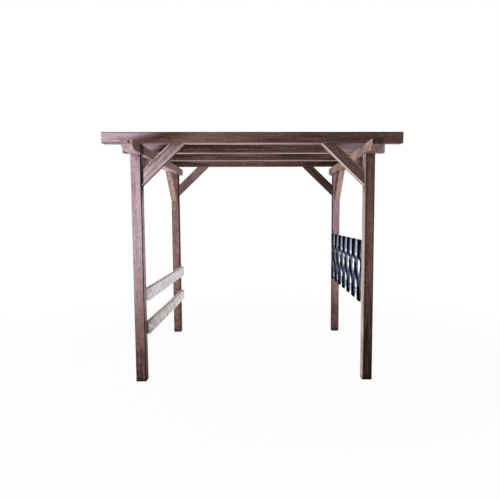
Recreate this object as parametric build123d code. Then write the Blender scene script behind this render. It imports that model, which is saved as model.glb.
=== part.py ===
from build123d import *
import math
import os

# A free-standing garden pergola, an open frame of square timbers with one screened side.
# Millimetres. X runs to the right, Y to the back and Z up, from the floor midway between the posts.

# Main timbers
timber = 104.0
edge_ease = 8.0
post_height = 2320.0
post_spacing_x = 2340.0
post_spacing_y = 2075.0

# Side beams
beam_overhang = 300.0
tail_cut_length = 65.0
tail_cut_height = 48.0

# Rafters
rafter_length = 3000.0
rafter_height = 110.0
rafter_names = ("rafter_front", "rafter_second", "rafter_third", "rafter_back")

# Knee braces; run and drop go from the corner to the far edge, along the timber above and down the post
brace_depth = 106.0
brace_thickness = 80.0
cross_brace_run = 435.0
cross_brace_drop = 418.0
side_brace_run = 390.0
side_brace_drop = 390.0

# Boards on the left side
board_thickness = 45.0
board_height = 132.0
board_ease = 3.0
lower_board_top = 621.0
upper_board_top = 970.0

# Woven screen on the right side
screen_bottom = 800.0
screen_height = 645.0
rail_thickness = 16.0
top_rail_height = 150.0
bottom_rail_height = 70.0
bottom_rail_rise = 35.0
slat_count = 13
slat_width = 140.0
slat_thickness = 15.0
bow_depth = 258.0
bow_clearance = 2.0

# Places that follow from the sizes above
rows = (("front", -1), ("back", 1))
sides = (("left", -1), ("right", 1))
post_x = post_spacing_x / 2
post_y = post_spacing_y / 2
inner_face_x = post_x - timber / 2
inner_face_y = post_y - timber / 2
rafter_underside = post_height + timber
clear_gap_y = post_spacing_y - timber
rail_x = inner_face_x + rail_thickness / 2
top_rail_z = screen_bottom + screen_height - top_rail_height / 2
bottom_rail_z = screen_bottom + bottom_rail_rise + bottom_rail_height / 2
brace_offset = (timber - brace_thickness) / 2


def save(shape, name):
    """Write one piece under its own name."""
    export_step(shape, f"parts/{name}.step")


def bar(size_x, size_y, size_z, long_axis, ease):
    """A straight timber, centred, with its long edges eased."""
    block = Box(size_x, size_y, size_z)
    return chamfer(block.edges().filter_by(long_axis), ease)


def make_posts():
    """Four posts that stand on the floor."""
    post = bar(timber, timber, post_height, Axis.Z, edge_ease)
    for row, y_sign in rows:
        for side, x_sign in sides:
            save(Pos(x_sign * post_x, y_sign * post_y, post_height / 2) * post, f"post_{row}_{side}")


def make_side_beams():
    """Two beams along Y on the post tops, their tails cut back underneath."""
    half_length = post_y + timber / 2 + beam_overhang
    cut_start = half_length - tail_cut_length
    outline = Polyline(
        (-half_length, timber),
        (half_length, timber),
        (half_length, tail_cut_height),
        (cut_start, 0),
        (-cut_start, 0),
        (-half_length, tail_cut_height),
        close=True,
    )
    beam = extrude(Plane.YZ * make_face(outline), timber / 2, both=True)
    beam = chamfer(beam.edges().filter_by(Axis.Y), edge_ease)
    for side, x_sign in sides:
        save(Pos(x_sign * post_x, 0, post_height) * beam, f"side_beam_{side}")


def make_rafters():
    """Rafters across the side beams, evenly spaced from the front posts to the back posts."""
    rafter = bar(rafter_length, timber, rafter_height, Axis.X, edge_ease)
    spacing = post_spacing_y / (len(rafter_names) - 1)
    for index, name in enumerate(rafter_names):
        save(Pos(0, index * spacing - post_y, rafter_underside + rafter_height / 2) * rafter, name)


def knee_brace(run, drop):
    """A brace in the XZ plane; the corner that it stiffens is at the origin, above and to its left."""
    slope = math.atan2(drop, run)
    near_run = run - brace_depth / math.sin(slope)
    near_drop = drop - brace_depth / math.cos(slope)
    outline = Polyline((run, 0), (near_run, 0), (0, -near_drop), (0, -drop), close=True)
    brace = extrude(Plane.XZ * make_face(outline), brace_thickness / 2, both=True)
    long_edges = brace.edges().filter_by(Axis((0, 0, 0), (run, 0, drop)))
    return chamfer(long_edges, edge_ease)


def make_braces():
    """From each post, a brace flush behind to its rafter and one flush outside to its side beam."""
    cross_brace = knee_brace(cross_brace_run, cross_brace_drop)
    side_brace = knee_brace(side_brace_run, side_brace_drop)
    for row, y_sign in rows:
        for side, x_sign in sides:
            turn = 0 if x_sign < 0 else 180
            corner = Pos(x_sign * inner_face_x, y_sign * post_y + brace_offset, rafter_underside)
            save(corner * Rot(0, 0, turn) * cross_brace, f"cross_brace_{row}_{side}")
            turn = 90 if y_sign < 0 else -90
            corner = Pos(x_sign * (post_x + brace_offset), y_sign * inner_face_y, post_height)
            save(corner * Rot(0, 0, turn) * side_brace, f"side_brace_{row}_{side}")


def make_boards():
    """Two boards on the inner faces of the left posts, from post centre to post centre."""
    board = bar(board_thickness, post_spacing_y, board_height, Axis.Y, board_ease)
    x = board_thickness / 2 - inner_face_x
    for name, top in (("left_board_upper", upper_board_top), ("left_board_lower", lower_board_top)):
        save(Pos(x, 0, top - board_height / 2) * board, name)


def make_rails():
    """Two rails between the right posts, flush with their inner faces."""
    top = Box(rail_thickness, clear_gap_y, top_rail_height)
    bottom = Box(rail_thickness, clear_gap_y, bottom_rail_height)
    save(Pos(rail_x, 0, top_rail_z) * top, "screen_rail_top")
    save(Pos(rail_x, 0, bottom_rail_z) * bottom, "screen_rail_bottom")


def crossing(start, end):
    """Two arcs that leave start and reach end straight down, meeting halfway."""
    middle = ((start[0] + end[0]) / 2, (start[1] + end[1]) / 2)
    first = TangentArc(start, middle, tangent=(0, -1))
    return [first, TangentArc(middle, end, tangent=first % 1)]


def slat_edge(seat_x, bow_x):
    """One long edge of a slat seen along Y: a seat, a bow to the other side of the rails, a seat."""
    upper_seat = (seat_x, screen_height - top_rail_height)
    bow = (bow_x, screen_height - bow_depth)
    lower_seat = (seat_x, bottom_rail_rise + bottom_rail_height)
    top = Line((seat_x, screen_height), upper_seat)
    bottom = Line(lower_seat, (seat_x, 0))
    return [top, *crossing(upper_seat, bow), *crossing(bow, lower_seat), bottom]


def formed_slat():
    """A slat seated on the rails' inner faces; turned about Z it seats on their outer faces."""
    seat = rail_thickness / 2
    bow = seat + bow_clearance
    face = slat_edge(-seat, bow + slat_thickness)
    back = slat_edge(-seat - slat_thickness, bow)
    ends = [Line(face[0] @ 0, back[0] @ 0), Line(face[-1] @ 1, back[-1] @ 1)]
    outline = make_face(face + back + ends)
    return extrude(Plane.XZ * outline, slat_width / 2, both=True)


def make_slats():
    """Slats in turn on the inner and the outer faces of the rails, counted from the back."""
    slat = formed_slat()
    pitch = clear_gap_y / slat_count
    for index in range(slat_count):
        y = inner_face_y - pitch / 2 - index * pitch
        turn = 180 * (index % 2)
        save(Pos(rail_x, y, screen_bottom) * Rot(0, 0, turn) * slat, f"screen_slat_{index + 1:02d}")


os.makedirs("parts", exist_ok=True)
make_posts()
make_side_beams()
make_rafters()
make_braces()
make_boards()
make_rails()
make_slats()
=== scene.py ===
import math
from types import SimpleNamespace
import bmesh
import bpy
from mathutils import Matrix, Vector


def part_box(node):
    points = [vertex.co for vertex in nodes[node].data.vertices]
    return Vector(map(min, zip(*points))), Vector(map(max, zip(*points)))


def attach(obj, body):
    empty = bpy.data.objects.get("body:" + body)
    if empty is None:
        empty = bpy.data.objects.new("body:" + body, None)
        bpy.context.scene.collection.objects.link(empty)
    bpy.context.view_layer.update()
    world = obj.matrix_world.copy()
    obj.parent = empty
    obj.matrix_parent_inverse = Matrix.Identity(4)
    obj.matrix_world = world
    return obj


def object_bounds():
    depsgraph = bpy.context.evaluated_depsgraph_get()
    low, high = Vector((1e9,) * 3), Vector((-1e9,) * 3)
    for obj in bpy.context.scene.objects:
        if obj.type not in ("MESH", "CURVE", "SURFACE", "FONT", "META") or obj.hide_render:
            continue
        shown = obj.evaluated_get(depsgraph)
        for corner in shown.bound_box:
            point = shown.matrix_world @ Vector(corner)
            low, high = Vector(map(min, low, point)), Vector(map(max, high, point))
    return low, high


# Looks of the pergola: stained timber, pale boards, a dark formed screen, screws, light and camera.
# Metres, in the frame's own axes: X to the right, Y to the back, Z up.

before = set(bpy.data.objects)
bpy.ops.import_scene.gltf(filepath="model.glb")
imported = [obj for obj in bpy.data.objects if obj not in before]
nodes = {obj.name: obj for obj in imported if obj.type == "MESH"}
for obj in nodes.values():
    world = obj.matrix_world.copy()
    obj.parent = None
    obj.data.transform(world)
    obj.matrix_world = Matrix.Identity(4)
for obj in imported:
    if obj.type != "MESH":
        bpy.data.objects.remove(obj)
cad_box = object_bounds()

# Directions, and the corners that pieces are named after
along_x = Vector((1, 0, 0))
along_y = Vector((0, 1, 0))
along_z = Vector((0, 0, 1))
nearly_along = 0.9
rows = (("front", -1), ("back", 1))
sides = (("left", -1), ("right", 1))

# Camera, found from the picture's perspective; the picture is square
picture_pixels = 500
sensor_width_mm = 36.0
focal_pixels = 458.7
picture_centre_x = 268.55
picture_centre_y = 256.45
camera_place = Vector((0.0779, -5.7269, 1.6832))
camera_yaw = math.radians(0.889)
camera_pitch = math.radians(4.825)
camera_roll = math.radians(-0.189)

# Light levels
ambient_strength = 0.34
key_power = 560.0
key_size = 5.0
key_place = Vector((-6.0, -6.5, 6.5))
bounce_power = 85.0
bounce_size = 5.0
bounce_height = 0.03

# Floor
floor_half_width = 30.0
floor_brightness = 0.88
floor_roughness = 0.9
floor_white_share = 0.94
floor_fade_start = 2.0
floor_fade_end = 5.0

# Timber texture: waves a metre along the grain and across it, or one number for every direction
streak_waves = (2.4, 42, 42)
fibre_waves = (14, 330, 330)
wander_waves = (1.4, 9, 9)
split_waves = (0.9, 17, 17)
knot_waves = (1.5, 5, 5)
speckle_waves = 52
blotch_waves = 23

# How far a timber's own pattern is moved on, in waves for each metre from the origin to its centre
streak_drift = 7
split_drift = 5
knot_drift = 3

# How strongly each texture shows in a timber's tone, and the rings in its relief
fibre_weight = 0.35
ring_weight = -0.2
speckle_weight = 1.5
blotch_weight = 0.8
ring_relief = 0.5

# Growth rings, knots and cracks; limits are where a smooth change sets in and where it is complete
ring_spacing = 0.0065
ring_wander = 0.03
ring_limits = (0.45, 0.95)
knot_swell = 0.012
knot_limits = (0.05, 0.16)
crack_limits = (0.003, 0.009)
crack_streak_limits = (0.42, 0.55)
pith_limits = (0.006, 0.013)
knot_strength = 0.4
crack_strength = 0.5

# Sides of a timber painted paler where light falls on them, its cut ends, and painted shade along its long
# edges
facing_limits = (0.3, 0.9)
patchy_limits = (0.2, 0.5)
patchy_least = 0.8
cut_end_limits = (0.85, 0.95)
end_ring_limits = (0.2, 0.9)
end_ring_least = 0.75
corner_limits = (0.3, 0.6)
raised_limits = (-0.1, 0.1)
raised_sideways_weight = 0.3
middle_tone = 0.5

# Boards along Y: waves a metre, and how strongly each texture shows in their tone
board_streak_waves = (38, 2.2, 38)
board_fibre_waves = (300, 12, 300)
board_speckle_waves = 46
board_blotch_waves = 21
board_streak_weight = 0.7
board_fibre_weight = 0.4
board_speckle_weight = 1.6
board_blotch_weight = 2.2

# Painted shade at the ends of a board by the posts, its greyer top and paler foot: where they show, and how
# strongly
board_shaded_front = 0.029
board_shaded_back = 0.019
board_front_shade = 0.3
board_back_shade = 0.8
board_front_limits = (-0.8, -0.5)
board_by_post_limits = (0.45, 0.75)
board_off_post_share = 0.15
board_patch_limits = (0.42, 0.6)
board_upward_limits = (0.3, 0.8)
board_top_greying = (0.1, 0.85)
board_pale_foot = 0.106
board_foot_paleness = 0.7

# Slats of the screen: waves a metre, the bends that get a painted sheen, and how pale the cut edges are up
# their height
slat_waves = (120, 120, 5)
slat_brush_limits = (0.3, 0.75)
slat_bend_limits = (0.03, 0.25)
slat_top_limits = (0.7, 0.9)
slat_sheen_limits = (0.35, 0.65)
slat_sheen = (0.25, 0.7)
slat_cut_limits = (0.5, 0.8)
slat_edge_pale_stops = ((0.0, 0.0), (0.186, 0.2), (0.341, 0.8), (0.69, 0.8), (0.814, 0.3), (1.0, 0.0))

# Rails of the screen: waves a metre, and the strip near the top that may be dark
rail_waves = (160, 6, 160)
rail_grain_limits = (0.3, 0.7)
rail_line = (0.88, 0.947)

# Screws; the outline of a head goes from its rim into its recess, as reach and rise in shares of its radius
screw_radius = 0.0055
screw_sides = 12
screw_outline = ((1.0, -0.1), (1.0, 0.1), (0.82, 0.25), (0.42, 0.25), (0.36, -0.05))
screw_from_brace_end = 0.075
screw_from_brace_middle = 0.02
screw_from_board_end = 0.026
screw_board_shares = (0.25, 0.75)
screw_waves = 400
screw_mottle_limits = (0.3, 0.7)
screw_roughness = (0.4, 0.6)
screw_metallic = 0.5
screw_specular = 0.5

# Finish of each material: roughness over its grain, shine, and the relief's strength and depth
grain_limits = (0.2, 0.8)
timber_finish = SimpleNamespace(roughness=(0.65, 0.85), specular=0.06, relief=(0.5, 0.0015))
board_finish = SimpleNamespace(roughness=(0.65, 0.85), specular=0.2, relief=(0.4, 0.0012))
slat_finish = SimpleNamespace(roughness=(0.55, 0.7), specular=0.0, relief=(0.2, 0.0008))
rail_finish = SimpleNamespace(roughness=(0.6, 0.75), specular=0.15, relief=(0.2, 0.0008))


def srgb(red, green, blue):
    """A colour written as it looks on screen, from 0 to 255, as the linear colour that shaders take."""
    linear = []
    for value in (red, green, blue):
        level = value / 255
        linear.append(level / 12.92 if level <= 0.04045 else ((level + 0.055) / 1.055) ** 2.4)
    return (*linear, 1.0)


# Colours, each pair from the darkest to the palest grain
stain = (srgb(37, 21, 16), srgb(131, 102, 93))
# mauve to blush: colours of sides painted paler where light falls on them; ebony: a darker foot
mauve = (srgb(138, 110, 120), srgb(226, 199, 211))
warm = (srgb(122, 88, 76), srgb(226, 192, 177))
dusty = (srgb(132, 106, 100), srgb(234, 211, 205))
rosy = (srgb(134, 107, 110), srgb(232, 206, 210))
wine = (srgb(132, 97, 106), srgb(222, 186, 202))
russet = (srgb(126, 92, 88), srgb(214, 178, 174))
blush = (srgb(160, 134, 138), srgb(244, 224, 228))
ebony = (srgb(24, 12, 9), srgb(40, 24, 18))
board = (srgb(146, 128, 125), srgb(246, 240, 240))
board_edge = srgb(150, 143, 142)
board_end_shade = srgb(58, 40, 36)
# Painted shade and painted highlight
shade_colour = srgb(22, 12, 10)
highlight_colour = srgb(226, 206, 212)
crack_colour = srgb(24, 15, 13)
knot_colour = srgb(44, 28, 23)
pith_colour = srgb(22, 13, 12)
screen_face = (srgb(4, 4, 7), srgb(17, 18, 25))
screen_sheen = srgb(118, 126, 160)
screen_edge = srgb(158, 164, 190)
rail_colours = (srgb(146, 152, 178), srgb(204, 209, 226))
screw_colours = (srgb(34, 28, 26), srgb(92, 84, 80))

# How a timber has aged, and where light and shade are painted on it, unless its own look says otherwise.
# A share is a number from 0 to 1, or it is an axis letter and then stops, each a place along the piece's
# own box, from 0 to 1, and the share there.
plain_look = {
    # Paleness of the stain, and how far each side is painted paler where light falls on it
    "stain": 0.4,
    "front": 0.2,
    "back": 0.2,
    "left": 0.2,
    "right": 0.2,
    "under": 0.4,
    "top": 0.3,
    # Colours of the sides painted paler where light falls on them
    "front_colours": mauve,
    "side_colours": mauve,
    "level_colours": warm,
    # Painted shade along the lower and the upper long edges, and its colour, a painted highlight where it
    # is pale
    "low_edge": 0.6,
    "high_edge": 0.6,
    "edge_colour": shade_colour,
    # Painted shade all over and on the right side, and darkness of the cut ends
    "all_dark": 0.0,
    "right_dark": 0.0,
    "end": 0.6,
    # Strength of lengthwise streaks and of even mottling
    "streaks": 0.75,
    "mottle": 1.0,
    # Place of the pith across the timber, from its middle
    "pith": (-0.021, 0.014),
    # How far the stops along X lean to the right from the piece's foot to its top
    "lean": 0.0,
}

# Timbers whose grain shows as long streaks more than as mottling
streaky = {"streaks": 1.1, "mottle": 0.4}


def aged_and_lit(**changes):
    """The look of one timber: the plain look with some values changed."""
    return SimpleNamespace(**{**plain_look, **changes})


class Tree:
    """Short calls for building one material out of nodes."""

    def __init__(self, name):
        self.material = bpy.data.materials.new(name)
        self.material.use_nodes = True
        self.nodes = self.material.node_tree.nodes
        self.links = self.material.node_tree.links
        self.shader = self.nodes["Principled BSDF"]
        self.output = self.nodes["Material Output"]

    def feed(self, socket, value):
        """Link a socket to another one, or set it to a plain value."""
        if isinstance(value, bpy.types.NodeSocket):
            self.links.new(value, socket)
        else:
            socket.default_value = value

    def math(self, operation, first, second=0.0, clamp=False):
        """The result of one operation on one or two values."""
        node = self.nodes.new("ShaderNodeMath")
        node.operation = operation
        node.use_clamp = clamp
        self.feed(node.inputs[0], first)
        self.feed(node.inputs[1], second)
        return node.outputs[0]

    def total(self, *terms):
        """Sum of values, each given with its weight."""
        result = 0.0
        for value, weight in terms:
            result = self.math("ADD", result, self.math("MULTIPLY", value, weight))
        return result

    def swing(self, *terms):
        """Sum of textures, each swinging about zero by its weight."""
        return self.total(*((self.math("SUBTRACT", value, 0.5), weight) for value, weight in terms))

    def ramp(self, value, start, end, low=0.0, high=1.0):
        """A smooth step from low to high as the value goes from start to end."""
        node = self.nodes.new("ShaderNodeMapRange")
        node.interpolation_type = "SMOOTHSTEP"
        for name, setting in (("From Min", start), ("From Max", end), ("To Min", low), ("To Max", high)):
            self.feed(node.inputs[name], setting)
        self.feed(node.inputs["Value"], value)
        return node.outputs["Result"]

    def profile(self, value, stops):
        """A share that passes through stops, each a value from 0 to 1 and the share there."""
        node = self.nodes.new("ShaderNodeValToRGB")
        elements = node.color_ramp.elements
        while len(elements) < len(stops):
            elements.new(1.0)
        for element, (position, share) in zip(elements, stops):
            element.position = position
            element.color = (share, share, share, 1)
        self.feed(node.inputs[0], value)
        return node.outputs[0]

    def blend(self, share, first, second):
        """A colour between two others."""
        node = self.nodes.new("ShaderNodeMix")
        node.data_type = "RGBA"
        self.feed(node.inputs[0], share)
        self.feed(node.inputs[6], first)
        self.feed(node.inputs[7], second)
        return node.outputs[2]

    def between(self, share, first, second):
        """A value between two others."""
        return self.math("ADD", first, self.math("MULTIPLY", share, self.math("SUBTRACT", second, first)))

    def placed(self, vector, scale=(1, 1, 1), shift=(0, 0, 0), turn=(0, 0, 0)):
        """A vector scaled, turned and then shifted."""
        node = self.nodes.new("ShaderNodeMapping")
        self.feed(node.inputs["Vector"], vector)
        node.inputs["Scale"].default_value = scale
        node.inputs["Location"].default_value = shift
        node.inputs["Rotation"].default_value = turn
        return node.outputs[0]

    def parts(self, vector):
        """The three components of a vector, each under its axis letter."""
        node = self.nodes.new("ShaderNodeSeparateXYZ")
        self.feed(node.inputs[0], vector)
        return dict(zip("xyz", node.outputs))

    def length(self, vector):
        """The length of a vector."""
        node = self.nodes.new("ShaderNodeVectorMath")
        node.operation = "LENGTH"
        self.feed(node.inputs[0], vector)
        return node.outputs["Value"]

    def noise(self, vector, scale=1.0, detail=2.0, roughness=0.5):
        """Soft noise, mostly between 0 and 1."""
        node = self.nodes.new("ShaderNodeTexNoise")
        self.feed(node.inputs["Vector"], vector)
        node.inputs["Scale"].default_value = scale
        node.inputs["Detail"].default_value = detail
        node.inputs["Roughness"].default_value = roughness
        return node.outputs[0]

    def cells(self, vector):
        """Distance to the nearest of a scatter of points about one unit apart."""
        node = self.nodes.new("ShaderNodeTexVoronoi")
        self.feed(node.inputs["Vector"], vector)
        return node.outputs["Distance"]

    def place(self):
        """Position on the object, in metres."""
        return self.nodes.new("ShaderNodeTexCoord").outputs["Object"]

    def along(self, node_name, lean=0.0):
        """Place along each side of a piece's box, from 0 to 1; X may lean with height."""
        low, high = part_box(node_name)
        size = high - low
        scale = [1 / side for side in size]
        shift = [-start / side for start, side in zip(low, size)]
        share = self.parts(self.placed(self.place(), scale, shift))
        slant = self.math("MULTIPLY", self.math("SUBTRACT", share["z"], 0.5), lean)
        share["x"] = self.math("SUBTRACT", share["x"], slant)
        return share

    def facing(self):
        """Components of the direction in which the surface faces."""
        return self.parts(self.normal())

    def normal(self):
        """Direction in which the surface faces."""
        return self.nodes.new("ShaderNodeNewGeometry").outputs["True Normal"]

    def bump(self, height, strength, distance):
        """Fine relief that follows a texture."""
        node = self.nodes.new("ShaderNodeBump")
        node.inputs["Strength"].default_value = strength
        node.inputs["Distance"].default_value = distance
        self.feed(node.inputs["Height"], height)
        self.feed(self.shader.inputs["Normal"], node.outputs["Normal"])

    def surface(self, colour, roughness, specular):
        """Join the main values to the shader, and hand over the material."""
        self.feed(self.shader.inputs["Base Color"], colour)
        self.feed(self.shader.inputs["Roughness"], roughness)
        self.shader.inputs["Specular IOR Level"].default_value = specular
        return self.material

    def finish(self, colour, grain, relief, kind):
        """A surface that is rougher where its grain is pale, with fine relief."""
        self.bump(relief, *kind.relief)
        return self.surface(colour, self.ramp(grain, *grain_limits, *kind.roughness), kind.specular)


def grain_turn(grain_axis):
    """The rotation that lays a piece's grain along X."""
    helper = along_z if abs(grain_axis.z) < nearly_along else along_x
    side = grain_axis.cross(helper).normalized()
    return Matrix((grain_axis, side, grain_axis.cross(side)))


def share_at(tree, along, setting):
    """A plain share, or one that follows stops along the piece."""
    if isinstance(setting, (int, float)):
        return setting
    axis, *stops = setting
    return tree.profile(along[axis], stops)


def facing_share(tree, along, component, sign, setting):
    """How far a side has changed, only where the surface faces that way."""
    faces = tree.ramp(tree.math("MULTIPLY", component, sign), *facing_limits)
    return tree.math("MULTIPLY", faces, share_at(tree, along, setting))


def wood_grain(tree, node_name, grain_axis, look):
    """Textures of one timber, laid along its own grain."""
    low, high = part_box(node_name)
    centre = (low + high) / 2
    turn = grain_turn(grain_axis)
    place = tree.place()
    grain = tree.placed(place, shift=-(turn @ centre), turn=turn.to_euler())

    streak = tree.noise(tree.placed(grain, streak_waves, centre * streak_drift), detail=3)
    fibre = tree.noise(tree.placed(grain, fibre_waves), detail=2)
    speckle = tree.noise(place, scale=speckle_waves, detail=4, roughness=0.75)
    blotch = tree.noise(place, scale=blotch_waves, detail=2)

    knot = tree.cells(tree.placed(grain, knot_waves, centre * knot_drift))
    knot = tree.ramp(knot, *knot_limits, 1.0, 0.0)
    wander = tree.noise(tree.placed(grain, wander_waves), detail=2)
    from_pith = tree.length(tree.placed(grain, (0, 1, 1), (0, -look.pith[0], -look.pith[1])))
    radius = tree.total((from_pith, 1.0), (wander, ring_wander), (knot, knot_swell))
    ring = tree.ramp(tree.math("FRACT", tree.math("DIVIDE", radius, ring_spacing)), *ring_limits)

    split = tree.noise(tree.placed(grain, split_waves, centre * split_drift), detail=1)
    crack = tree.ramp(tree.math("ABSOLUTE", tree.math("SUBTRACT", split, 0.5)), *crack_limits, 1.0, 0.0)
    crack = tree.math("MULTIPLY", crack, tree.ramp(streak, *crack_streak_limits))

    texture = tree.swing(
        (streak, look.streaks),
        (fibre, fibre_weight),
        (ring, ring_weight),
        (speckle, speckle_weight * look.mottle),
        (blotch, blotch_weight * look.mottle),
    )
    turned = tree.parts(tree.placed(tree.normal(), turn=turn.to_euler()))
    corner = tree.math("MINIMUM", tree.math("ABSOLUTE", turned["y"]), tree.math("ABSOLUTE", turned["z"]))
    return SimpleNamespace(
        streak=streak, fibre=fibre, knot=knot, from_pith=from_pith, ring=ring, crack=crack,
        texture=texture, end_on=turned["x"], corner=corner,
    )


def side_lit_colour(tree, along, grain, look):
    """Stain with painted light and shade: each side paler where light falls on it, the right side and all
    sides darker where shade falls.
    """
    facing = tree.facing()
    stain_tone = tree.math("ADD", grain.texture, share_at(tree, along, look.stain), clamp=True)
    lit_tone = tree.math("ADD", grain.texture, middle_tone, clamp=True)
    patchy = tree.ramp(grain.streak, *patchy_limits, patchy_least, 1.0)
    colour = tree.blend(stain_tone, *stain)
    # Painted light: each side paler as far as it faces the light
    for axis, near, far, colours in (
        ("y", look.front, look.back, look.front_colours),
        ("x", look.left, look.right, look.side_colours),
        ("z", look.under, look.top, look.level_colours),
    ):
        near_share = facing_share(tree, along, facing[axis], -1.0, near)
        far_share = facing_share(tree, along, facing[axis], 1.0, far)
        lit_share = tree.math("MULTIPLY", tree.math("MAXIMUM", near_share, far_share), patchy)
        colour = tree.blend(lit_share, colour, tree.blend(lit_tone, *colours))
    # Painted shade on the right side, then all over where asked
    colour = tree.blend(facing_share(tree, along, facing["x"], 1.0, look.right_dark), colour, shade_colour)
    return tree.blend(share_at(tree, along, look.all_dark), colour, shade_colour)


def marked_colour(tree, along, grain, look, colour):
    """A colour with pith and rings on the cut ends, painted shade or highlight along the long edges, knots
    and cracks.
    """
    facing = tree.facing()
    cut_end = tree.ramp(tree.math("ABSOLUTE", grain.end_on), *cut_end_limits)
    pith = tree.ramp(grain.from_pith, *pith_limits, 1.0, 0.0)
    ringed = tree.math("MULTIPLY", tree.ramp(grain.ring, *end_ring_limits, end_ring_least, 1.0), look.end)
    end_mark = tree.math("MULTIPLY", cut_end, tree.math("MAXIMUM", pith, ringed))
    colour = tree.blend(end_mark, colour, pith_colour)

    # Painted shade along the long edges, a painted highlight where their colour is pale
    rise = tree.total((facing["x"], raised_sideways_weight), (facing["z"], 1.0))
    raised = tree.ramp(rise, *raised_limits)
    low_edge = share_at(tree, along, look.low_edge)
    high_edge = share_at(tree, along, look.high_edge)
    corner = tree.ramp(grain.corner, *corner_limits)
    painted_light = tree.math("MULTIPLY", corner, tree.between(raised, low_edge, high_edge))
    colour = tree.blend(painted_light, colour, look.edge_colour)

    colour = tree.blend(tree.math("MULTIPLY", grain.knot, knot_strength), colour, knot_colour)
    return tree.blend(tree.math("MULTIPLY", grain.crack, crack_strength), colour, crack_colour)


def stained_timber(node_name, grain_axis, look):
    """Dark stained softwood with growth rings, knots and cracks, painted paler where light falls and darker
    where shade falls.
    """
    tree = Tree(f"timber_{node_name}")
    along = tree.along(node_name, look.lean)
    grain = wood_grain(tree, node_name, grain_axis, look)
    colour = side_lit_colour(tree, along, grain, look)
    colour = marked_colour(tree, along, grain, look, colour)
    relief = tree.total((grain.fibre, 1.0), (grain.ring, ring_relief), (grain.crack, -1.0))
    return tree.finish(colour, grain.fibre, relief, timber_finish)


def pale_board(node_name, level, end_shade, end_patches):
    """Weathered pale board with grain along Y, a greyer top edge, a paler foot and painted shade at its
    ends by the posts.
    """
    tree = Tree(f"board_{node_name}")
    place = tree.place()
    along = tree.along(node_name)
    facing = tree.facing()
    streak = tree.noise(tree.placed(place, board_streak_waves), detail=3)
    fibre = tree.noise(tree.placed(place, board_fibre_waves), detail=2)
    speckle = tree.noise(place, scale=board_speckle_waves, detail=4, roughness=0.75)
    blotch = tree.noise(place, scale=board_blotch_waves, detail=3, roughness=0.6)
    texture = tree.swing(
        (streak, board_streak_weight),
        (fibre, board_fibre_weight),
        (speckle, board_speckle_weight),
        (blotch, board_blotch_weight),
    )
    colour = tree.blend(tree.math("ADD", texture, share_at(tree, along, level), clamp=True), *board)

    upward = tree.ramp(facing["z"], *board_upward_limits)
    greyer_top = tree.math("MULTIPLY", upward, tree.ramp(along["x"], 0.0, 1.0, *board_top_greying))
    colour = tree.blend(greyer_top, colour, board_edge)
    paler_foot = tree.ramp(along["z"], 0.0, board_pale_foot, board_foot_paleness, 0.0)
    colour = tree.blend(paler_foot, colour, board[1])

    # Painted shade at the board's ends, most by the posts
    off_post_shade = board_off_post_share * end_shade
    by_the_post = tree.ramp(along["x"], *board_by_post_limits, end_shade, off_post_shade)
    frontward = tree.ramp(facing["y"], *board_front_limits, 1.0, 0.0)
    front_end = tree.math("MULTIPLY", frontward, by_the_post)
    near_end = tree.profile(along["y"], (
        (0.0, board_front_shade),
        (board_shaded_front, 0.0),
        (1.0 - board_shaded_back, 0.0),
        (1.0, board_back_shade),
    ))
    patches = tree.ramp(speckle, *board_patch_limits, 1.0, 1.0 - end_patches)
    painted_light = tree.math("MULTIPLY", tree.math("MAXIMUM", front_end, near_end), patches)
    colour = tree.blend(painted_light, colour, board_end_shade)
    return tree.finish(colour, fibre, fibre, board_finish)


def dark_slat(node_name):
    """Blue-black paint with a painted sheen where the slat bends upward, and pale cut edges."""
    tree = Tree(f"slat_{node_name}")
    along = tree.along(node_name)
    facing = tree.facing()
    brushed = tree.noise(tree.placed(tree.place(), slat_waves), detail=3)
    colour = tree.blend(tree.ramp(brushed, *slat_brush_limits), *screen_face)

    # Painted sheen where the slat bends to face upward
    upward = tree.ramp(facing["z"], *slat_bend_limits)
    not_top = tree.ramp(facing["z"], *slat_top_limits, 1.0, 0.0)
    bent = tree.math("MULTIPLY", upward, not_top)
    painted_light = tree.math("MULTIPLY", bent, tree.ramp(brushed, *slat_sheen_limits, *slat_sheen))
    colour = tree.blend(painted_light, colour, screen_sheen)

    # Cut edges paler halfway up
    edge_paleness = tree.profile(along["z"], slat_edge_pale_stops)
    cut = tree.ramp(tree.math("ABSOLUTE", facing["y"]), *slat_cut_limits)
    colour = tree.blend(tree.math("MULTIPLY", cut, edge_paleness), colour, screen_edge)
    return tree.finish(colour, brushed, brushed, slat_finish)


def grey_rail(node_name, top_line):
    """Pale blue-grey rail with grain along Y, and a line along its top as dark as asked."""
    tree = Tree(f"rail_{node_name}")
    fibre = tree.noise(tree.placed(tree.place(), rail_waves), detail=3)
    colour = tree.blend(tree.ramp(fibre, *rail_grain_limits), *rail_colours)
    near_top = tree.ramp(tree.along(node_name)["z"], *rail_line)
    colour = tree.blend(tree.math("MULTIPLY", near_top, top_line), colour, screen_face[1])
    return tree.finish(colour, fibre, fibre, rail_finish)


def screw_steel():
    """Dull dark steel with a little stain on it."""
    tree = Tree("screw_steel")
    mottle = tree.noise(tree.place(), scale=screw_waves, detail=2)
    colour = tree.blend(tree.ramp(mottle, *screw_mottle_limits), *screw_colours)
    tree.shader.inputs["Metallic"].default_value = screw_metallic
    roughness = tree.ramp(mottle, *screw_mottle_limits, *screw_roughness)
    return tree.surface(colour, roughness, screw_specular)


def paint(node_name, material):
    """Give one piece of the frame its material."""
    mesh = nodes[node_name].data
    mesh.materials.clear()
    mesh.materials.append(material)


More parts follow.
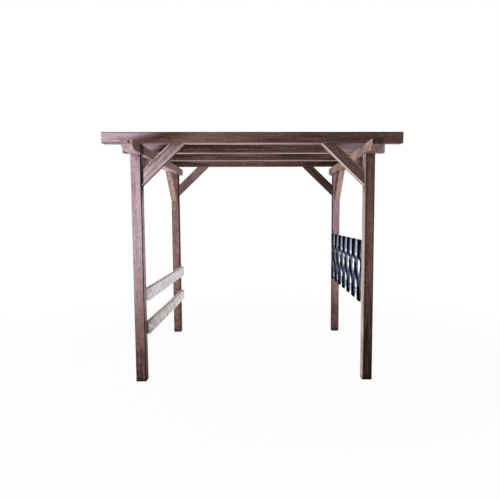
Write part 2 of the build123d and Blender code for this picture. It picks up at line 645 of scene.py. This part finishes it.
def paint_posts():
    """Posts: the front left one painted paler and mauve above and the inner sides paler, as light falls;
    painted shade near the tops; all darker at the foot.
    """
    looks = {
        "front_left": aged_and_lit(
            stain=("z", (0.0, 0.28), (0.13, 0.36), (0.181, 0.7), (0.224, 0.86), (0.28, 0.66), (0.388, 0.9)),
            front=("z", (0.237, 0.0), (0.345, 0.25), (0.431, 0.6), (0.647, 0.92)),
            back=0.4,
            left=0.5,
            right=("z", (0.0, 0.0), (0.26, 0.2), (0.41, 0.75), (0.733, 0.85)),
            # Painted shade on the inner side under the brace near the top; darker near the foot
            right_dark=("z", (0.0, 0.4), (0.18, 0.35), (0.25, 0.0), (0.797, 0.0), (0.862, 0.95),
                        (0.93, 0.85), (1.0, 0.6)),
            low_edge=("z", (0.0, 0.8), (0.345, 0.6), (0.56, 0.15)),
            high_edge=0.95,
            streaks=0.9,
            mottle=0.7,
        ),
        "front_right": aged_and_lit(
            stain=("z", (0.12, 0.0), (0.216, 0.08), (0.431, 0.34), (0.69, 0.56), (1.0, 0.44)),
            front=("z", (0.0, 0.9), (0.06, 0.65), (0.12, 0.15), (0.2, 0.0)),
            left=("z", (0.0, 0.65), (0.181, 0.7), (0.237, 1.0), (0.819, 0.85), (0.862, 0.3), (1.0, 0.7)),
            front_colours=ebony,
            side_colours=dusty,
            # Painted shade: a dark band by the inner edge of the front
            all_dark=("x", (0.09, 0.0), (0.13, 0.45), (0.24, 0.4), (0.34, 0.0)),
            low_edge=0.0,
            high_edge=0.95,
            **streaky,
        ),
        "back_left": aged_and_lit(
            stain=("z", (0.0, 0.33), (0.26, 0.46), (0.474, 0.55)),
            front=("z", (0.0, 0.0), (0.216, 0.1), (0.517, 0.34), (1.0, 0.38)),
            left=0.4,
            right=0.0,
            front_colours=russet,
            low_edge=0.9,
            high_edge=0.9,
        ),
        "back_right": aged_and_lit(
            stain=("z", (0.0, 0.26), (0.172, 0.42), (0.345, 0.55)),
            front=("z", (0.15, 0.0), (0.26, 0.22), (0.388, 0.5), (0.69, 0.9)),
            left=0.1,
            right=0.4,
            front_colours=wine,
            low_edge=0.9,
            high_edge=0.8,
        ),
    }
    for corner, look in looks.items():
        name = f"post_{corner}"
        paint(name, stained_timber(name, along_z, look))


def paint_side_beams():
    """Side beams: the left one's inside dark over the front post, the right one's inside painted pale and
    warm as lit.
    """
    looks = {
        "left": aged_and_lit(
            stain=("y", (0.0, 1.0), (0.097, 0.98), (0.111, 0.1), (0.14, 0.1), (0.155, 0.5)),
            front=0.62,
            left=0.5,
            right=("y", (0.0, 0.95), (0.014, 0.85), (0.02, 0.0), (0.145, 0.0), (0.18, 0.42), (0.5, 0.5),
                   (0.68, 0.9)),
            under=("y", (0.1, 0.7), (0.15, 1.0), (0.2, 1.0), (0.25, 0.4), (0.4, 0.4), (0.5, 0.75)),
            side_colours=russet,
            level_colours=blush,
            low_edge=0.1,
            high_edge=0.1,
            end=0.1,
            pith=(0.02, -0.02),
        ),
        "right": aged_and_lit(
            stain=0.45,
            front=0.1,
            left=0.84,
            right=0.3,
            under=0.15,
            side_colours=warm,
            level_colours=wine,
            low_edge=0.2,
            high_edge=0.2,
            end=0.9,
        ),
    }
    for side, look in looks.items():
        name = f"side_beam_{side}"
        paint(name, stained_timber(name, along_y, look))


def paint_rafters():
    """Rafters: dark streaky faces over undersides painted paler as lit from below, the nearer two painted
    paler at the left.
    """
    dusty_below = {**streaky, "level_colours": dusty}
    looks = {
        "front": aged_and_lit(
            # Painted light at the left end, painted shadow just beyond it, its edge slanting by the lean
            stain=("x", (0.1, 0.4), (0.19, 0.24), (0.24, 0.38), (0.317, 0.72), (0.457, 0.52),
                   (0.61, 0.34), (0.767, 0.26), (0.85, 0.36), (1.0, 0.42)),
            front=("x", (0.08, 1.0), (0.105, 0.72), (0.14, 0.17), (0.18, 0.0)),
            under=("x", (0.31, 0.65), (0.38, 1.0), (0.573, 0.8), (0.707, 0.58), (0.8, 0.3)),
            high_edge=0.8,
            lean=0.09,
            **dusty_below,
        ),
        "second": aged_and_lit(
            stain=("x", (0.2, 0.12), (0.333, 0.17), (0.45, 0.23), (0.55, 0.29), (0.667, 0.28), (0.8, 0.2)),
            front=("x", (0.0, 0.8), (0.113, 0.8), (0.134, 0.3), (0.15, 0.0), (0.783, 0.0), (0.85, 0.55),
                   (1.0, 0.5)),
            under=("x", (0.233, 0.75), (0.367, 0.55), (0.533, 0.55), (0.7, 0.72)),
            lean=0.06,
            **dusty_below,
        ),
        "third": aged_and_lit(
            stain=("x", (0.22, 0.14), (0.3, 0.33), (0.4, 0.38), (0.58, 0.42), (0.7, 0.22)),
            front=0.0,
            under=0.62,
            **dusty_below,
        ),
        "back": aged_and_lit(
            stain=("x", (0.133, 0.14), (0.267, 0.36), (0.467, 0.45), (0.633, 0.34), (0.767, 0.18)),
            front=0.0,
            under=0.2,
            **dusty_below,
        ),
    }
    for row, look in looks.items():
        name = f"rafter_{row}"
        paint(name, stained_timber(name, along_x, look))


def paint_braces():
    """Knee braces: the cross braces dark, the front left one painted paler and the side braces painted warm
    where lit.
    """
    near_edge = ("y", (0.38, 1.0), (0.63, 0.25), (1.0, 0.2))
    cross_looks = {
        "front_left": aged_and_lit(
            stain=0.9,
            front=("z", (0.512, 1.0), (0.703, 0.55), (1.0, 0.1)),
            right=0.0,
            under=0.0,
            # Painted shade where the brace meets the post
            all_dark=("x", (0.0, 0.95), (0.036, 0.92), (0.052, 0.0)),
            right_dark=0.7,
            front_colours=rosy,
            # Painted highlight along both long edges
            low_edge=0.8,
            high_edge=0.8,
            edge_colour=highlight_colour,
            streaks=1.6,
        ),
        "front_right": aged_and_lit(
            stain=0.5,
            front=0.0,
            left=near_edge,
            under=near_edge,
            side_colours=dusty,
            level_colours=dusty,
            # Painted highlight along the edges
            low_edge=0.8,
            high_edge=0.4,
            edge_colour=highlight_colour,
            **streaky,
        ),
        "back_left": aged_and_lit(stain=0.75, front=0.18, right=0.3, under=0.3, low_edge=0.5, high_edge=0.5),
        "back_right": aged_and_lit(stain=0.18, front=0.0, left=0.0, under=0.0, **streaky),
    }
    warm_front = {"front_colours": warm, "low_edge": 0.3, "high_edge": 0.3}
    side_looks = {
        "left": aged_and_lit(stain=0.5, front=0.7, right=0.5, under=0.75, side_colours=wine, **warm_front),
        "right": aged_and_lit(stain=0.3, front=0.9, left=0.0, under=0.9, **warm_front),
    }
    for row, y_sign in rows:
        for side, x_sign in sides:
            name = f"cross_brace_{row}_{side}"
            low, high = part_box(name)
            grain_axis = Vector((-x_sign * (high.x - low.x), 0, high.z - low.z)).normalized()
            paint(name, stained_timber(name, grain_axis, cross_looks[f"{row}_{side}"]))
            name = f"side_brace_{row}_{side}"
            low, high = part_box(name)
            grain_axis = Vector((0, -y_sign * (high.y - low.y), high.z - low.z)).normalized()
            paint(name, stained_timber(name, grain_axis, side_looks[side]))


def paint_infill():
    """The boards on the left and the screen on the right."""
    upper_level = ("y", (0.0, 0.76), (1.0, 0.92))
    lower_level = ("y", (0.0, 0.4), (0.355, 0.44), (1.0, 0.84))
    paint("left_board_upper", pale_board("left_board_upper", upper_level, end_shade=0.5, end_patches=0.9))
    paint("left_board_lower", pale_board("left_board_lower", lower_level, end_shade=0.9, end_patches=0.2))
    paint("screen_rail_top", grey_rail("screen_rail_top", top_line=0.75))
    paint("screen_rail_bottom", grey_rail("screen_rail_bottom", top_line=0.0))
    for name in nodes:
        if name.startswith("screen_slat_"):
            paint(name, dark_slat(name))


def add_screw(shape, place, outward):
    """One round screw head with a sunk recess, standing just proud of a face."""
    helper = along_x if abs(outward.x) < nearly_along else along_y
    side = outward.cross(helper).normalized()
    other = outward.cross(side)
    rings = []
    for reach, rise in screw_outline:
        ring = []
        for index in range(screw_sides):
            angle = 2 * math.pi * index / screw_sides
            spoke = side * math.cos(angle) + other * math.sin(angle)
            ring.append(shape.verts.new(place + (spoke * reach + outward * rise) * screw_radius))
        rings.append(ring)
    for inner, outer in zip(rings[1:], rings):
        for index in range(screw_sides):
            after = (index + 1) % screw_sides
            shape.faces.new((outer[index], outer[after], inner[after], inner[index]))
    shape.faces.new(rings[-1])


def make_screws(name, places, material):
    """One piece that holds every screw head of a kind."""
    shape = bmesh.new()
    for place, outward in places:
        add_screw(shape, place, outward)
    bmesh.ops.recalc_face_normals(shape, faces=shape.faces)
    mesh = bpy.data.meshes.new(name)
    shape.to_mesh(mesh)
    shape.free()
    mesh.materials.append(material)
    piece = bpy.data.objects.new(name, mesh)
    bpy.context.scene.collection.objects.link(piece)
    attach(piece, "root")


def brace_underside(name, run_axis, inward):
    """The lower and the upper end of a brace's underside, halfway through its thickness."""
    low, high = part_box(name)
    middle = (low + high) / 2
    half_run = (high - low).dot(run_axis) / 2
    foot = middle - run_axis * inward * half_run
    foot.z = low.z
    head = middle + run_axis * inward * half_run
    head.z = high.z
    return foot, head


def screws_at_ends(foot, head, level_axis):
    """Two screws near each end of a sloping line, facing down from it."""
    along = (head - foot).normalized()
    outward = along.cross(level_axis)
    if outward.z > 0:
        outward = -outward
    places = []
    for start, step in ((foot, along), (head, -along)):
        for sign in (-1, 1):
            offset = level_axis * sign * screw_from_brace_middle
            places.append((start + step * screw_from_brace_end + offset, outward))
    return places


def brace_screw_places():
    """Two screws near each end of every brace, on its slanting underside."""
    places = []
    for kind, run_axis, level_axis in (("cross", along_x, along_y), ("side", along_y, along_x)):
        for row, y_sign in rows:
            for side, x_sign in sides:
                inward = -x_sign if kind == "cross" else -y_sign
                foot, head = brace_underside(f"{kind}_brace_{row}_{side}", run_axis, inward)
                places += screws_at_ends(foot, head, level_axis)
    return places


def board_screw_places():
    """Two screws through each end of the boards, on the inner face."""
    places = []
    for name in ("left_board_upper", "left_board_lower"):
        low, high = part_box(name)
        for y in (low.y + screw_from_board_end, high.y - screw_from_board_end):
            for share in screw_board_shares:
                places.append((Vector((high.x, y, low.z + (high.z - low.z) * share)), along_x))
    return places


def white_rays(tree_nodes, tree_links):
    """1 for the rays that should see the backdrop as white: straight, mirrored or through glass."""
    path = tree_nodes.new("ShaderNodeLightPath")
    mirrored = tree_nodes.new("ShaderNodeMath")
    mirrored.operation = "MAXIMUM"
    tree_links.new(path.outputs["Is Glossy Ray"], mirrored.inputs[0])
    tree_links.new(path.outputs["Is Transmission Ray"], mirrored.inputs[1])
    either = tree_nodes.new("ShaderNodeMath")
    either.operation = "MAXIMUM"
    tree_links.new(path.outputs["Is Camera Ray"], either.inputs[0])
    tree_links.new(mirrored.outputs[0], either.inputs[1])
    return either.outputs[0]


def make_floor():
    """A pale floor that turns white away from the object and keeps its shadow."""
    mesh = bpy.data.meshes.new("floor")
    shape = bmesh.new()
    bmesh.ops.create_grid(shape, x_segments=1, y_segments=1, size=floor_half_width)
    shape.to_mesh(mesh)
    shape.free()
    floor = bpy.data.objects.new("floor", mesh)
    bpy.context.scene.collection.objects.link(floor)

    tree = Tree("floor")
    distance = tree.length(tree.place())
    whiteness = tree.ramp(distance, floor_fade_start, floor_fade_end, floor_white_share, 1.0)
    seen = tree.math("MULTIPLY", whiteness, white_rays(tree.nodes, tree.links))
    white = tree.nodes.new("ShaderNodeEmission")
    mix = tree.nodes.new("ShaderNodeMixShader")
    grey = (floor_brightness, floor_brightness, floor_brightness, 1)
    tree.surface(grey, floor_roughness, specular=0.0)
    tree.feed(mix.inputs[0], seen)
    tree.feed(mix.inputs[1], tree.shader.outputs[0])
    tree.feed(mix.inputs[2], white.outputs[0])
    tree.feed(tree.output.inputs["Surface"], mix.outputs[0])
    mesh.materials.append(tree.material)


def make_world():
    """Even ambient light, seen as white behind the object."""
    world = bpy.data.worlds.new("studio")
    world.use_nodes = True
    world_nodes = world.node_tree.nodes
    world_links = world.node_tree.links
    ambient = world_nodes["Background"]
    ambient.inputs["Color"].default_value = (1, 1, 1, 1)
    ambient.inputs["Strength"].default_value = ambient_strength
    white = world_nodes.new("ShaderNodeBackground")
    white.inputs["Color"].default_value = (1, 1, 1, 1)
    mix = world_nodes.new("ShaderNodeMixShader")
    world_links.new(white_rays(world_nodes, world_links), mix.inputs[0])
    world_links.new(ambient.outputs[0], mix.inputs[1])
    world_links.new(white.outputs[0], mix.inputs[2])
    world_links.new(mix.outputs[0], world_nodes["World Output"].inputs["Surface"])
    bpy.context.scene.world = world


def make_lamp(name, place, target, size, power):
    """A square soft lamp that the camera doesn't see."""
    light = bpy.data.lights.new(name, "AREA")
    light.size = size
    light.energy = power
    lamp = bpy.data.objects.new(name, light)
    lamp.location = place
    lamp.rotation_euler = (target - place).to_track_quat("-Z", "Y").to_euler()
    lamp.visible_camera = False
    lamp.visible_glossy = False
    bpy.context.scene.collection.objects.link(lamp)


def make_camera():
    """The camera at the picture's own viewpoint."""
    forward = Vector((
        math.sin(camera_yaw) * math.cos(camera_pitch),
        math.cos(camera_yaw) * math.cos(camera_pitch),
        -math.sin(camera_pitch),
    ))
    level_right = Vector((math.cos(camera_yaw), -math.sin(camera_yaw), 0))
    level_up = level_right.cross(forward)
    right = math.cos(camera_roll) * level_right + math.sin(camera_roll) * level_up
    up = math.cos(camera_roll) * level_up - math.sin(camera_roll) * level_right
    data = bpy.data.cameras.new("camera")
    data.sensor_width = sensor_width_mm
    data.lens = focal_pixels / picture_pixels * sensor_width_mm
    data.shift_x = (picture_pixels / 2 - picture_centre_x) / picture_pixels
    data.shift_y = (picture_centre_y - picture_pixels / 2) / picture_pixels
    camera = bpy.data.objects.new("camera", data)
    turn = Matrix((right, up, -forward)).transposed()
    camera.matrix_world = Matrix.Translation(camera_place) @ turn.to_4x4()
    bpy.context.scene.collection.objects.link(camera)
    bpy.context.scene.camera = camera


paint_posts()
paint_side_beams()
paint_rafters()
paint_braces()
paint_infill()
steel = screw_steel()
make_screws("brace_screws", brace_screw_places(), steel)
make_screws("board_screws", board_screw_places(), steel)
make_floor()
make_world()
middle = (cad_box[0] + cad_box[1]) / 2
make_lamp("key", key_place, middle, key_size, key_power)
bounce_place = Vector((0, 0, bounce_height))
make_lamp("bounce", bounce_place, bounce_place + along_z, bounce_size, bounce_power)
make_camera()
bpy.context.scene.view_settings.view_transform = "Standard"
